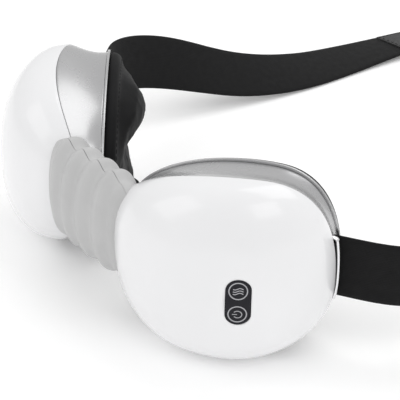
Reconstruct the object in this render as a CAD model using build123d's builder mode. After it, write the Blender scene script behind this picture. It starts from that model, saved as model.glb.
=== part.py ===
from build123d import *
import os
from math import cos, copysign, pi, radians, sin

# Folding eye massager mask.
# Frame: millimetres, +Z up, +Y towards the wearer's face, +X towards the pod with the controls.
# The origin is on the surface the mask stands on, straight below the fold axis, in the nose gap.
# Each pod has its own coordinates: u outward from the pod's centre, v up from its centre,
# w backward (towards the face) from the plane through the front of the silver rim.

# ---- pods ----
pod_half_width = 43.0
pod_half_height = 36.5
pod_out = 55.0          # fold axis to pod centre, along the pod
pod_forward = 21.5      # fold axis to the rim plane, across the pod
pod_swing = 34.0        # swing of each pod back from the flat mask, degrees
crest_u = 14.4          # the outline is highest here
belly_u = 4.0           # and lowest here
nose_v = 7.8            # height of the outline's nose end
temple_v = -4.1         # height of the outline's temple end
upper_temple_power, upper_nose_power = 2.45, 1.87
lower_nose_power, lower_temple_power = 2.57, 2.18

# ---- front cover ----
dome_depth = 23.0
dome_power = 2.3
rim_sweep = 11.3        # the rim's nose and temple ends stand this far behind its middle
cover_wall = 2.0
boss_radius = 3.0
boss_places = [(-22, 22), (-22, -20), (31, -16), (25, 22)]

# ---- side band, rear frame and chassis ----
band_depth = 19.3       # rim plane to the band's rear edge
band_waist = 1.6        # how far the band draws in half way
band_inset = 1.5        # and at its rear edge
band_wall = 1.8
frame_depth = 2.0
frame_inset = 1.0
frame_width = 6.0
chassis_depth = 2.0
chassis_front = 15.0
fit_gap = 0.2           # between a piece and the shell that it sits in

# ---- face pad, heater and air cushion ----
pad_inset = 2.0
pad_base = 5.0
brow_height = 10.0
cheek_height = 4.5
heater_depth = 0.5
airbag_depth = 3.0
airbag_inset = 9.0

# ---- bridge ----
rib_count = 4
rib_pitch = 10.8
rib_rise = 1.0
bridge_half_depth = 10.0
bridge_half_height = 20.3
bridge_forward = 4.0    # bridge centre ahead of the fold axis
bridge_height = 39.6    # bridge centre above the ground
bridge_power = 2.3
bridge_wall = 1.3
bridge_overlap = 2.4    # how far the sleeve reaches past its outer ribs, over the pods
bridge_gap = 0.35       # between the silicone bridge and the pods
web_wall = 1.5

# ---- hinge ----
knuckle_radius = 3.4
pin_radius = 1.5
running_gap = 0.05
knuckle_low, knuckle_high = 26.0, 49.0
end_knuckle = 5.2
knuckle_gap = 0.25
arm_height = 7.0        # height of the middle knuckle's arm
bracket_plate = 2.8

# ---- control panel ----
panel_u, panel_v = 16.7, -2.1
panel_width = 9.2
panel_length = 18.7
button_pitch = 9.6
button_radius = 3.0
button_gap = 0.1
ring_width = 0.4
ring_depth = 0.6
button_travel = 0.5
panel_gap = 0.05

# ---- charging port ----
port_u = -14.0
port_w = 9.0
port_width, port_height, port_length = 8.9, 3.2, 7.0
port_wall = 0.35

# ---- strap ----
strap_width = 25.0
strap_thickness = 1.6
slot_height = 25.6
slot_v = -0.6           # height of the strap slots on the pods' temple ends
slot_w, slot_depth = 16.05, 5.7
bar_w, bar_width, bar_thickness = 16.0, 2.2, 1.8
strap_w = 18.0          # the strap enters its slot behind the bar
patch_thickness = 0.8
patch_width = 22.0
stations = 32
# Run of each strap half from its slot: x outward and y backward from the slot's mouth,
# z above the ground, and the lean of its upper edge inward from upright, degrees.
left_run = [
    (28.6, 22, 36.5, 18), (38.1, 58, 28.2, 40), (37.7, 96, 14.6, 57),
    (38.7, 136.5, 6.4, 73), (44, 179, 3.2, 86), (47, 221, 3.0, 97), (49, 261, 3.0, 97),
]
right_run = [
    (15.6, 17, 34.4, 7), (20, 43, 32, 11), (26, 70, 24.5, 20),
    (33.5, 103, 15.6, 45), (40, 139, 7.4, 70), (44, 175, 2.8, 88), (47, 209, 1.4, 90),
]

swing = radians(pod_swing)
outward = Vector(cos(swing), sin(swing), 0)
forward = Vector(sin(swing), -cos(swing), 0)
up = Vector(0, 0, 1)
pod_middle = Vector(0, 0, pod_half_height) + outward * pod_out + forward * pod_forward


def place(u, v, w):
    """Point of the right pod, from its own coordinates."""
    return pod_middle + outward * u + up * v - forward * w


def across(w):
    """Plane across the right pod at depth w: x outward, y up, normal forward."""
    return Plane(origin=place(0, 0, w), x_dir=outward, z_dir=forward)


def plan(u, w):
    """Ground-plan point (x, y) of the right pod."""
    point = place(u, 0, w)
    return (point.X, point.Y)


def power(value, exponent):
    return copysign(abs(value) ** exponent, value)


def rim(u):
    """Depth of the rim, which sweeps back towards the nose and the temple."""
    return rim_sweep * (u / pod_half_width) ** 2


def outline(angle, inset=0.0, drop=0.0):
    """Point of the pod's outline, drawn in by inset and lowered by drop."""
    c, s = cos(angle), sin(angle)
    crest, belly = crest_u, belly_u
    if s >= 0:
        exponent = upper_temple_power if c >= 0 else upper_nose_power
        middle_u = crest
    else:
        exponent = lower_temple_power if c >= 0 else lower_nose_power
        middle_u = belly
    middle_v = temple_v if c >= 0 else nose_v
    reach_u = pod_half_width - inset - middle_u * copysign(1, c)
    reach_v = pod_half_height - inset - middle_v * copysign(1, s)
    return (middle_u + reach_u * power(c, 2 / exponent), middle_v + reach_v * power(s, 2 / exponent) - drop)


def outline_line(inset=0.0, drop=0.0, points=16):
    """Closed line of the outline, from an upper and a lower half."""
    upper = [outline(pi * i / points, inset, drop) for i in range(points + 1)]
    lower = [outline(pi + pi * i / points, inset, drop) for i in range(points + 1)]
    lower[0], lower[-1] = upper[-1], upper[0]
    with BuildLine() as line:
        Spline(*upper, tangents=[(0, 1), (0, -1)])
        Spline(*lower, tangents=[(0, -1), (0, 1)])
    return line.line


def edge_height(u, side, inset):
    """Height v of the outline's upper (side 1) or lower (side -1) edge at u."""
    if side > 0:
        middle_u = crest_u
        exponent = upper_temple_power if u >= middle_u else upper_nose_power
    else:
        middle_u = belly_u
        exponent = lower_temple_power if u >= middle_u else lower_nose_power
    middle_v = temple_v if u >= middle_u else nose_v
    reach_u = pod_half_width - inset + (-middle_u if u >= middle_u else middle_u)
    reach_v = pod_half_height - inset - side * middle_v
    share = min(1.0, abs(u - middle_u) / reach_u)
    return middle_v + side * reach_v * (1 - share ** exponent) ** (1 / exponent)


def dome_section(share, inset, back):
    """Upright slice of the domed front at a share of the half width, closed at depth back."""
    u = share * (pod_half_width - inset)
    top, bottom = edge_height(u, 1, inset), edge_height(u, -1, inset)
    middle, half = (top + bottom) / 2, (top - bottom) / 2
    depth = (dome_depth - inset) * (1 - abs(share) ** dome_power) ** (1 / dome_power)
    base = -rim(u)
    arch = []
    for i in range(13):
        angle = pi * i / 12
        arch.append((middle - half * power(cos(angle), 2 / dome_power),
                     base + depth * power(sin(angle), 2 / dome_power)))
    with BuildSketch(Plane(origin=place(u, 0, 0), x_dir=up, z_dir=outward)) as section:
        with BuildLine():
            Polyline((bottom, base), (bottom, -back), (top, -back), (top, base))
            Spline(*arch, tangents=[(0, 1), (0, -1)])
        make_face()
    return section


def dome(inset, back):
    """Solid of the domed front, with straight walls back to depth back."""
    with BuildPart() as body:
        steps = 12
        for i in range(steps + 1):
            share = -cos(radians(5 + 170 * i / steps))
            add(dome_section(share, inset, back).sketch)
        loft()
    return body


def rim_prism(front_w, back_w, gap=0.0):
    """Block between depth front_w or back_w and the swept rim: give the one that isn't None."""
    far = back_w if back_w is not None else front_w
    reach = pod_half_width + 6
    shares = [-1, -0.6, -0.25, 0, 0.25, 0.6, 1]
    with BuildPart() as block:
        with BuildSketch(Plane.XY.offset(-pod_half_height)):
            with BuildLine():
                Spline(*[plan(s * reach, rim(s * reach) + gap) for s in shares])
                Polyline(plan(reach, rim(reach) + gap), plan(reach, far), plan(-reach, far),
                         plan(-reach, rim(reach) + gap))
            make_face()
        extrude(amount=4 * pod_half_height)
    return block


back_limit = 16.0
outer_dome = dome(0.0, back_limit)
inner_dome = dome(cover_wall, back_limit + 1)
behind_rim = rim_prism(None, back_limit + 12)
ahead_of_rim = rim_prism(-dome_depth - 12, None)

# ---- front covers ----
with BuildPart() as hollow:
    add(inner_dome.part)
    with BuildSketch(across(chassis_front)):
        with Locations(*boss_places):
            Circle(boss_radius)
    extrude(amount=chassis_front + dome_depth, mode=Mode.SUBTRACT)

with BuildPart() as behind_chassis:
    with BuildSketch(across(chassis_front)):
        Rectangle(3 * pod_half_width, 4 * pod_half_height)
    extrude(amount=-back_limit)

with BuildPart() as shell_cut:
    add(behind_rim.part)
    add(inner_dome.part, mode=Mode.SUBTRACT)

with BuildPart() as cover_blank:
    add(outer_dome.part)
    add(hollow.part, mode=Mode.SUBTRACT)
    add(shell_cut.part, mode=Mode.SUBTRACT)
    add(behind_chassis.part, mode=Mode.SUBTRACT)
    with BuildSketch(across(chassis_front)):
        with Locations(*boss_places):
            Circle(boss_radius * 0.4)
    extrude(amount=9, mode=Mode.SUBTRACT)

# ---- side band, rear frame, chassis ----


def band_solid(inset):
    """Solid within the band's surface, drawn in by inset, from ahead of the rim to its rear edge."""
    with BuildPart() as body:
        for w, draw_in in [(-3.0, 0.0), (band_depth * 0.5, band_waist), (band_depth, band_inset)]:
            with BuildSketch(across(w)):
                make_face(outline_line(inset + draw_in, min(draw_in, band_inset)).edges())
        loft()
    return body


band_outer = band_solid(0.0)
with BuildPart() as band_inner:
    add(band_solid(band_wall).part)
    with BuildSketch(across(band_depth)):
        make_face(outline_line(band_inset + band_wall, band_inset).edges())
    extrude(amount=-1)

window_outer, window_inner = 47.0, 36.0     # u of the hinge's window in the band's nose end
window_front, window_back = 11.8, 18.0
with BuildPart() as hinge_window:
    with BuildSketch(Plane.XY.offset(knuckle_low - knuckle_gap)):
        with BuildLine():
            Polyline(plan(-window_outer, window_front), plan(-window_inner, window_front),
                     plan(-window_inner, window_back), plan(-window_outer, window_back), close=True)
        make_face()
    extrude(amount=knuckle_high - knuckle_low + 2 * knuckle_gap)

with BuildPart() as strap_slot:
    with BuildSketch(Plane(origin=place(pod_half_width - 8, slot_v, slot_w), x_dir=up, z_dir=outward)):
        RectangleRounded(slot_height, slot_depth, 1.2)
    extrude(amount=12)

with BuildPart() as band_with_slot:
    add(band_outer.part)
    add(band_inner.part, mode=Mode.SUBTRACT)
    add(ahead_of_rim.part, mode=Mode.SUBTRACT)
    add(hinge_window.part, mode=Mode.SUBTRACT)
    add(strap_slot.part, mode=Mode.SUBTRACT)
    add(cover_blank.part, mode=Mode.SUBTRACT)

with BuildPart() as frame_blank:
    with BuildSketch(across(band_depth)):
        make_face(outline_line(frame_inset, frame_inset).edges())
    extrude(amount=-frame_depth)
    with BuildSketch(across(band_depth)):
        make_face(outline_line(frame_inset + frame_width, frame_inset).edges())
    extrude(amount=-frame_depth, mode=Mode.SUBTRACT)

chassis_inset = band_waist + band_wall + fit_gap
with BuildPart() as chassis_blank:
    with BuildSketch(across(chassis_front)):
        make_face(outline_line(chassis_inset, band_inset).edges())
    extrude(amount=-chassis_depth)
    with BuildSketch(across(chassis_front)):
        with Locations(*boss_places):
            Circle(boss_radius * 0.5)
    extrude(amount=-chassis_depth, mode=Mode.SUBTRACT)

screw_head_radius, screw_head_depth = 2.4, 1.2
with BuildPart() as screws_blank:
    with BuildSketch(across(chassis_front + chassis_depth)):
        with Locations(*boss_places):
            Circle(screw_head_radius)
    extrude(amount=-screw_head_depth)
    with BuildSketch(across(chassis_front + chassis_depth)):
        with Locations(*boss_places):
            Circle(boss_radius * 0.4)
    extrude(amount=chassis_depth + 7)

airbag_front = chassis_front + chassis_depth + screw_head_depth + fit_gap
with BuildPart() as airbag_blank:
    with BuildSketch(across(airbag_front)):
        make_face(outline_line(airbag_inset, band_inset).edges())
    extrude(amount=-(band_depth + frame_depth - airbag_front - heater_depth))

pad_front = band_depth + frame_depth
with BuildPart() as heater_blank:
    with BuildSketch(across(pad_front - heater_depth)):
        make_face(outline_line(airbag_inset + 1, band_inset).edges())
    extrude(amount=-heater_depth)

with BuildPart() as pad_blank:
    for w, inset in [(pad_front, pad_inset), (pad_front + pad_base * 0.6, pad_inset + 0.6),
                     (pad_front + pad_base, pad_inset + 4)]:
        with BuildSketch(across(w)):
            make_face(outline_line(inset, band_inset).edges())
    loft()
    # the brow mound, highest towards the temple, and the lower cheek mound
    for place_u, place_v, length, width, height in [(6, 17, 54, 26, brow_height), (-2, -20, 42, 18, cheek_height)]:
        for w, share in [(pad_front + pad_base - 1.5, 1.0), (pad_front + pad_base + height * 0.6, 0.72),
                         (pad_front + pad_base + height, 0.28)]:
            with BuildSketch(across(w)):
                with Locations((place_u, place_v)):
                    Ellipse(length * share / 2, width * share / 2)
        loft()

# ---- pieces mounted on the chassis ----
with BuildPart() as speaker_blank:
    with BuildSketch(across(chassis_front)):
        with Locations((31, 8)):
            Circle(7.5)
    extrude(amount=4.5)
    fillet(speaker_blank.edges().filter_by(GeomType.CIRCLE).sort_by(Axis(speaker_blank.part.center(), forward))[-1], 1)

motor_radius, motor_length = 3.6, 12.0
with BuildPart() as motor_blank:
    with BuildSketch(Plane(origin=place(-8, 25, chassis_front - motor_radius), x_dir=up, z_dir=outward)):
        Circle(motor_radius)
    extrude(amount=motor_length)

with BuildPart() as main_board:
    with BuildSketch(across(9.2)):
        with Locations((-9, 0)):
            Rectangle(30, 30)
    extrude(amount=1.2)
    with BuildSketch(across(8.0)):
        with Locations((-14, 6), (-3, -6), (-16, -8)):
            Rectangle(6, 6)
    extrude(amount=1.4)
    with BuildSketch(across(chassis_front)):
        with GridLocations(24, 24, 2, 2):
            with Locations((-9, 0)):
                Circle(1.5)
    extrude(amount=chassis_front - 9.2)

with BuildPart() as air_pump:
    with BuildSketch(Plane(origin=place(18, -24, 6.2), x_dir=outward, z_dir=up)):
        Circle(8.6)
    extrude(amount=19)
    with BuildSketch(Plane(origin=place(18, -5, 6.2), x_dir=outward, z_dir=up)):
        Circle(2.2)
    extrude(amount=5)

with BuildPart() as air_valve:
    with BuildSketch(across(chassis_front)):
        with Locations((12, 20)):
            RectangleRounded(9, 12, 1)
    extrude(amount=9)

with BuildPart() as battery_right:
    with BuildSketch(across(chassis_front)):
        with Locations((-4, 0)):
            RectangleRounded(38, 26, 2)
    extrude(amount=7.5)
with BuildPart() as battery:
    mirror(battery_right.part, about=Plane.YZ)

# ---- charging port, in the underside of the band ----
port_v = edge_height(port_u, -1, 0.0)
port_plane = Plane(origin=place(port_u, port_v - 2, port_w), x_dir=outward, z_dir=up)
with BuildPart() as port_hole:
    with BuildSketch(port_plane):
        RectangleRounded(port_width + 0.2, port_height + 0.2, port_height / 2)
    extrude(amount=port_length)
with BuildPart() as charging_port:
    with BuildSketch(port_plane.offset(3.2)):
        RectangleRounded(port_width, port_height, port_height / 2 - 0.05)
    extrude(amount=port_length)
    with BuildSketch(port_plane.offset(3.2)):
        RectangleRounded(port_width - 2 * port_wall, port_height - 2 * port_wall, port_height / 2 - port_wall - 0.05)
    extrude(amount=port_length - 0.8, mode=Mode.SUBTRACT)
    with BuildSketch(port_plane.offset(4.2)):
        Rectangle(6.2, 0.7)
    extrude(amount=port_length - 1)

# ---- control panel, set into the right cover ----


def dome_point(u, v):
    """Point of the cover's outer face."""
    top, bottom = edge_height(u, 1, 0.0), edge_height(u, -1, 0.0)
    middle, half = (top + bottom) / 2, (top - bottom) / 2
    depth = dome_depth * (1 - abs(u / pod_half_width) ** dome_power) ** (1 / dome_power)
    depth *= (1 - abs((v - middle) / half) ** dome_power) ** (1 / dome_power)
    return place(u, v, rim(u) - depth)


face_point = dome_point(panel_u, panel_v)
along_u = dome_point(panel_u + 1, panel_v) - dome_point(panel_u - 1, panel_v)
along_v = dome_point(panel_u, panel_v + 3) - dome_point(panel_u, panel_v - 3)
panel_normal = along_u.cross(along_v).normalized()
panel_plane = Plane(origin=face_point, x_dir=along_u, z_dir=panel_normal)
button_places = [(0, button_pitch / 2), (0, -button_pitch / 2)]
button_reach = 3.0      # from below the cover to above it


cover_skin = dome(cover_wall, back_limit)
with BuildPart() as window_block:
    with BuildSketch(panel_plane.offset(-5)):
        SlotOverall(panel_length + 2 * panel_gap, panel_width + 2 * panel_gap, rotation=90)
    extrude(amount=5 + button_reach)

with BuildPart() as control_panel:
    with BuildSketch(panel_plane.offset(-5)):
        SlotOverall(panel_length, panel_width, rotation=90)
        with Locations(*button_places):
            Circle(button_radius + button_gap, mode=Mode.SUBTRACT)
    extrude(amount=5 + button_reach)
    add(outer_dome.part, mode=Mode.INTERSECT)
    add(cover_skin.part, mode=Mode.SUBTRACT)

ring_skin = dome(ring_depth, back_limit)
with BuildPart() as button_rings:
    with BuildSketch(panel_plane.offset(-5)):
        with Locations(*button_places):
            Circle(button_radius + button_gap + ring_width)
            Circle(button_radius + button_gap, mode=Mode.SUBTRACT)
    extrude(amount=5 + button_reach)
    add(outer_dome.part, mode=Mode.INTERSECT)
    add(ring_skin.part, mode=Mode.SUBTRACT)
with BuildPart() as panel_with_grooves:
    add(control_panel.part)
    add(button_rings.part, mode=Mode.SUBTRACT)

board_depth = cover_wall + 2.6      # from the cover's face to the button board
stem_radius = 1.2
switch_height = 1.0


def button(spot):
    """Round cap flush with the panel, on a stem that ends above its switch."""
    with BuildPart() as cap:
        with BuildSketch(panel_plane.offset(-cover_wall - 0.2)):
            with Locations(spot):
                Circle(button_radius)
        extrude(amount=cover_wall + button_reach)
        add(outer_dome.part, mode=Mode.INTERSECT)
        with BuildSketch(panel_plane.offset(-cover_wall - 0.2)):
            with Locations(spot):
                Circle(stem_radius)
        extrude(amount=-(board_depth - cover_wall - 0.2 - switch_height - button_travel - 0.1))
    return cap


mode_button = button(button_places[0])
power_button = button(button_places[1])

with BuildPart() as button_board:
    with BuildSketch(panel_plane.offset(-board_depth)):
        RectangleRounded(panel_width - 0.6, panel_length, 1)
    extrude(amount=-1)
    with BuildSketch(panel_plane.offset(-board_depth)):
        with Locations(*button_places):
            Rectangle(3.4, 3.4)
    extrude(amount=switch_height)

with BuildPart() as right_front_cover:
    add(cover_blank.part)
    add(window_block.part, mode=Mode.SUBTRACT)

# ---- strap anchor bar, across the temple slot ----
with BuildPart() as bar_blank:
    with BuildSketch(Plane(origin=place(pod_half_width - 3, slot_v, bar_w), x_dir=up, z_dir=outward)):
        RectangleRounded(slot_height + 4, bar_width, bar_width / 2 - 0.1)
    extrude(amount=bar_thickness)
with BuildPart() as band_blank:
    add(band_with_slot.part)
    add(bar_blank.part, mode=Mode.SUBTRACT)
    add(screws_blank.part, mode=Mode.SUBTRACT)
with BuildPart() as right_side_band:
    add(band_blank.part)
    add(port_hole.part, mode=Mode.SUBTRACT)

# ---- hinge: end knuckles on the right pod, middle knuckle on the left pod ----
knuckle_height = knuckle_high - knuckle_low
middle_low = knuckle_low + end_knuckle + knuckle_gap
middle_height = knuckle_height - 2 * (end_knuckle + knuckle_gap)
arm_front, arm_back = chassis_front - bracket_plate, chassis_front
plate_near, plate_far = -40.0, -30.0


def arm(low, height):
    """Arm from the fold axis into the pod's nose, at one level."""
    with BuildPart() as piece:
        with BuildSketch(Plane.XY.offset(low)):
            Circle(knuckle_radius)
            with BuildLine():
                Polyline(plan(-pod_out - 0.6, pod_forward - knuckle_radius + 0.1), plan(plate_near - 1, arm_front),
                         plan(plate_far, arm_front), plan(plate_far, arm_back), plan(plate_near, arm_back),
                         plan(-pod_out + 2.3, pod_forward + 2.3), close=True)
            make_face()
        extrude(amount=height)
    return piece


def joining_plate(low, height):
    """Upright plate inside the pod that joins the arms and holds the bracket's two screws."""
    with BuildPart() as plate:
        with BuildSketch(Plane.XY.offset(low)):
            with BuildLine():
                Polyline(plan(plate_far - 4, arm_front), plan(plate_far, arm_front), plan(plate_far, arm_back),
                         plan(plate_far - 4, arm_back), close=True)
            make_face()
        extrude(amount=height)
    return plate


bracket_screw_radius = 0.9
bracket_screw_levels = [knuckle_low + 2.2, knuckle_high - 2.2]


def bracket_screws_tool(radius, near, depth):
    with BuildPart() as tool:
        with BuildSketch(across(near)):
            with Locations(*[(plate_far - 2, level - pod_half_height) for level in bracket_screw_levels]):
                Circle(radius)
        extrude(amount=-depth)
    return tool


screw_hole = bracket_screws_tool(bracket_screw_radius, arm_front - 1, bracket_plate + chassis_depth + 2)

with BuildPart() as right_hinge_bracket:
    add(arm(knuckle_low, end_knuckle).part)
    add(arm(knuckle_high - end_knuckle, end_knuckle).part)
    add(joining_plate(knuckle_low, knuckle_height).part)
    with BuildSketch(Plane.XY.offset(knuckle_low)):
        Circle(pin_radius)
    extrude(amount=knuckle_height, mode=Mode.SUBTRACT)
    add(screw_hole.part, mode=Mode.SUBTRACT)

with BuildPart() as left_bracket_blank:
    add(arm(bridge_height - 2.3 - arm_height / 2, arm_height).part)
    add(joining_plate(knuckle_low, knuckle_height).part)
    with BuildSketch(Plane.XY.offset(middle_low)):
        Circle(knuckle_radius)
    extrude(amount=middle_height)
    with BuildSketch(Plane.XY.offset(knuckle_low)):
        Circle(pin_radius + running_gap)
    extrude(amount=knuckle_height, mode=Mode.SUBTRACT)
    add(screw_hole.part, mode=Mode.SUBTRACT)

with BuildPart() as hinge_pin:
    with BuildSketch(Plane.XY.offset(knuckle_low)):
        Circle(pin_radius)
    extrude(amount=knuckle_height)
    with BuildSketch(Plane.XY.offset(knuckle_high)):
        Circle(pin_radius + 0.8)
    extrude(amount=0.8)
    fillet(hinge_pin.edges().group_by(Axis.Z)[-1], 0.5)

with BuildPart() as bracket_screws_blank:
    add(bracket_screws_tool(bracket_screw_radius, arm_front, bracket_plate + chassis_depth).part)
    add(bracket_screws_tool(2 * bracket_screw_radius, arm_front - 0.9, 0.9).part)

with BuildPart() as chassis_drilled:
    add(chassis_blank.part)
    add(screw_hole.part, mode=Mode.SUBTRACT)

# ---- silicone bridge: a ribbed sleeve over the hinge, in a front and a rear shell ----
with BuildPart() as pod_envelope:
    gap = bridge_gap
    add(dome(-gap, band_depth).part)
    for w in [band_depth - 4, band_depth + frame_depth + gap]:
        with BuildSketch(across(w)):
            make_face(outline_line(band_inset - frame_inset - gap, 0.0).edges())
    loft()


def bridge_section(x, inset, grow):
    """Closed profile of the bridge at x, drawn in by inset and grown at the ribs."""
    fade = 1 - 0.22 * (abs(x) / (rib_pitch * rib_count / 2)) ** 2
    half_z = bridge_half_height + grow - inset
    points = []
    for i in range(24):
        angle = 2 * pi * i / 24
        half_y = bridge_half_depth * (fade if cos(angle) < 0 else 1) + grow - inset
        points.append((-bridge_forward + half_y * power(cos(angle), 2 / bridge_power),
                       bridge_height + half_z * power(sin(angle), 2 / bridge_power)))
    with BuildSketch(Plane.YZ.offset(x)) as section:
        with BuildLine():
            Spline(*points, periodic=True)
        make_face()
    return section


def bridge_solid(inset):
    reach = rib_pitch * rib_count / 2 + bridge_overlap
    steps = 6 * rib_count
    with BuildPart() as sleeve:
        for i in range(steps + 1):
            x = reach * (2 * i / steps - 1)
            grow = -rib_rise * cos(2 * pi * x / rib_pitch)
            add(bridge_section(x, inset, grow).sketch)
        loft(ruled=True)
    return sleeve


with BuildPart() as bridge_sleeve:
    add(bridge_solid(0.0).part)
    add(bridge_solid(bridge_wall).part, mode=Mode.SUBTRACT)
    add(pod_envelope.part, mode=Mode.SUBTRACT)
    mirror(pod_envelope.part, about=Plane.YZ, mode=Mode.SUBTRACT)

seam_plane = Plane(origin=(0, -bridge_forward - 1.5, 0), x_dir=(1, 0, 0), z_dir=(0, -1, 0))
with BuildPart() as bridge_front_shell:
    add(bridge_sleeve.part)
    split(bisect_by=seam_plane, keep=Keep.TOP)
with BuildPart() as bridge_rear_shell:
    add(bridge_sleeve.part)
    split(bisect_by=seam_plane, keep=Keep.BOTTOM)
    add(right_hinge_bracket.part, mode=Mode.SUBTRACT)
    mirror(left_bracket_blank.part, about=Plane.YZ, mode=Mode.SUBTRACT)

# ---- black web behind the bridge, between the face pads ----
web_low, web_high = bridge_height - 17, bridge_height + 16
web_start_u, web_start_w = -pod_half_width + 0.6, pad_front + 0.9
web_end = plan(web_start_u, web_start_w)
web_bow = 6.0           # how far the web's middle stands behind its ends


def web_line(lift):
    """Line of one face of the web in plan, from the right pod to the left."""
    side = (web_end[0] * 0.45, web_end[1] + web_bow * 0.7 + lift)
    return [(web_end[0], web_end[1] + lift), side, (0, web_end[1] + web_bow + lift), (-side[0], side[1]),
            (-web_end[0], web_end[1] + lift)]


with BuildPart() as nose_web:
    with BuildSketch(Plane.XY.offset(web_low)):
        with BuildLine():
            inner_face = Spline(*web_line(0.0))
            outer_face = Spline(*web_line(web_wall))
            Line(inner_face @ 0, outer_face @ 0)
            Line(inner_face @ 1, outer_face @ 1)
        make_face()
    extrude(amount=web_high - web_low)

# ---- wires and air tube that cross the bridge, in front of the knuckles ----
wire_radius, tube_radius = 0.9, 1.1
wire_level = middle_low + 1.4
tube_level = bridge_height - 2.3 + arm_height / 2 + tube_radius + 0.5


def crossing(level, radius):
    """Round wire or tube from the right chassis to the left one at one level."""
    inner, mouth = plan(-27, 10.2), plan(-41.5, 14.6)
    ahead = -knuckle_radius - radius - 0.7
    points = [inner, plan(-37, 11.2), mouth, (5.0, ahead)]
    points += [(-x, y) for x, y in reversed(points)]
    with BuildPart() as piece:
        with BuildLine(Plane.XY.offset(level)) as path:
            FilletPolyline(*points, radius=3)
        with BuildSketch(Plane(origin=path.line @ 0, z_dir=path.line % 0)):
            Circle(radius)
        sweep()
    return piece


bridge_wires = crossing(wire_level, wire_radius)
bridge_air_tube = crossing(tube_level, tube_radius)

# ---- strap halves ----


def ribbon(side, run, first, last, width, thickness, lift):
    """Flat band along a strap's route between two of its stations, lifted off its middle surface."""
    root = place(pod_half_width - 4.4, slot_v, strap_w)
    mouth = place(pod_half_width + 2, slot_v, strap_w)
    route = [(root.X, root.Y, root.Z, 0), (mouth.X, mouth.Y, mouth.Z, 0)]
    route += [(mouth.X + x, mouth.Y + y, z, lean) for x, y, z, lean in run]
    route = [(side * x, y, z, lean) for x, y, z, lean in route]
    with BuildLine() as line:
        Spline(*[point[:3] for point in route])
    with BuildPart() as band:
        for i in range(first, last + 1):
            t = i / stations
            spot = t * (len(route) - 1)
            k = min(int(spot), len(route) - 2)
            lean = radians(route[k][3] + (route[k + 1][3] - route[k][3]) * (spot - k))
            along = line.line % t
            inward = Vector(along.Y, -along.X, 0).normalized() * -side
            rise = inward.cross(along).normalized() * side
            edge = rise * cos(lean) + inward * sin(lean)
            with BuildSketch(Plane(origin=line.line @ t, x_dir=edge, z_dir=along)):
                with Locations((0, side * lift)):
                    Rectangle(width, thickness)
        loft(ruled=True)
    return band


left_strap = ribbon(-1, left_run, 0, stations, strap_width, strap_thickness, 0.0)
right_strap = ribbon(1, right_run, 0, stations, strap_width, strap_thickness, 0.0)
patch_lift = (strap_thickness + patch_thickness) / 2
left_hook_patch = ribbon(-1, left_run, 26, 31, patch_width, patch_thickness, patch_lift)
right_loop_patch = ribbon(1, right_run, 20, 31, patch_width, patch_thickness, patch_lift)


def save(piece, label):
    piece.part.label = label
    export_step(piece.part, "parts/" + label + ".step")


os.makedirs("parts", exist_ok=True)

# Pieces that both pods have, made on the right and mirrored for the left.
for blank, name in [
    (frame_blank, "rear_frame"), (chassis_drilled, "chassis"), (screws_blank, "cover_screws"),
    (airbag_blank, "airbag"), (heater_blank, "heating_film"), (pad_blank, "face_pad"),
    (speaker_blank, "speaker"), (motor_blank, "vibration_motor"), (bar_blank, "strap_bar"),
    (bracket_screws_blank, "bracket_screws"),
]:
    save(blank, "right_" + name)
    with BuildPart() as twin:
        mirror(blank.part, about=Plane.YZ)
    save(twin, "left_" + name)

# Left pieces that differ from the right ones, from their blanks on the right.
for blank, name in [
    (cover_blank, "left_front_cover"), (band_blank, "left_side_band"), (left_bracket_blank, "left_hinge_bracket"),
]:
    with BuildPart() as twin:
        mirror(blank.part, about=Plane.YZ)
    save(twin, name)

for piece, name in [
    (right_front_cover, "right_front_cover"), (right_side_band, "right_side_band"),
    (right_hinge_bracket, "right_hinge_bracket"), (hinge_pin, "hinge_pin"),
    (bridge_front_shell, "bridge_front_shell"), (bridge_rear_shell, "bridge_rear_shell"), (nose_web, "nose_web"),
    (bridge_wires, "bridge_wires"), (bridge_air_tube, "bridge_air_tube"),
    (main_board, "main_board"), (air_pump, "air_pump"), (air_valve, "air_valve"), (battery, "battery"),
    (charging_port, "charging_port"), (panel_with_grooves, "control_panel"), (button_rings, "button_rings"),
    (button_board, "button_board"), (mode_button, "mode_button"), (power_button, "power_button"),
    (left_strap, "left_strap"), (right_strap, "right_strap"),
    (left_hook_patch, "left_hook_patch"), (right_loop_patch, "right_loop_patch"),
]:
    save(piece, name)
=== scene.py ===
"""Finished pieces of a folding eye massager mask, built around its fixed frame."""

import math

import bmesh
import bpy
import numpy as np
from bpy.props import FloatProperty, FloatVectorProperty, IntProperty, PointerProperty
from mathutils import Matrix, Vector, noise


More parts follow.
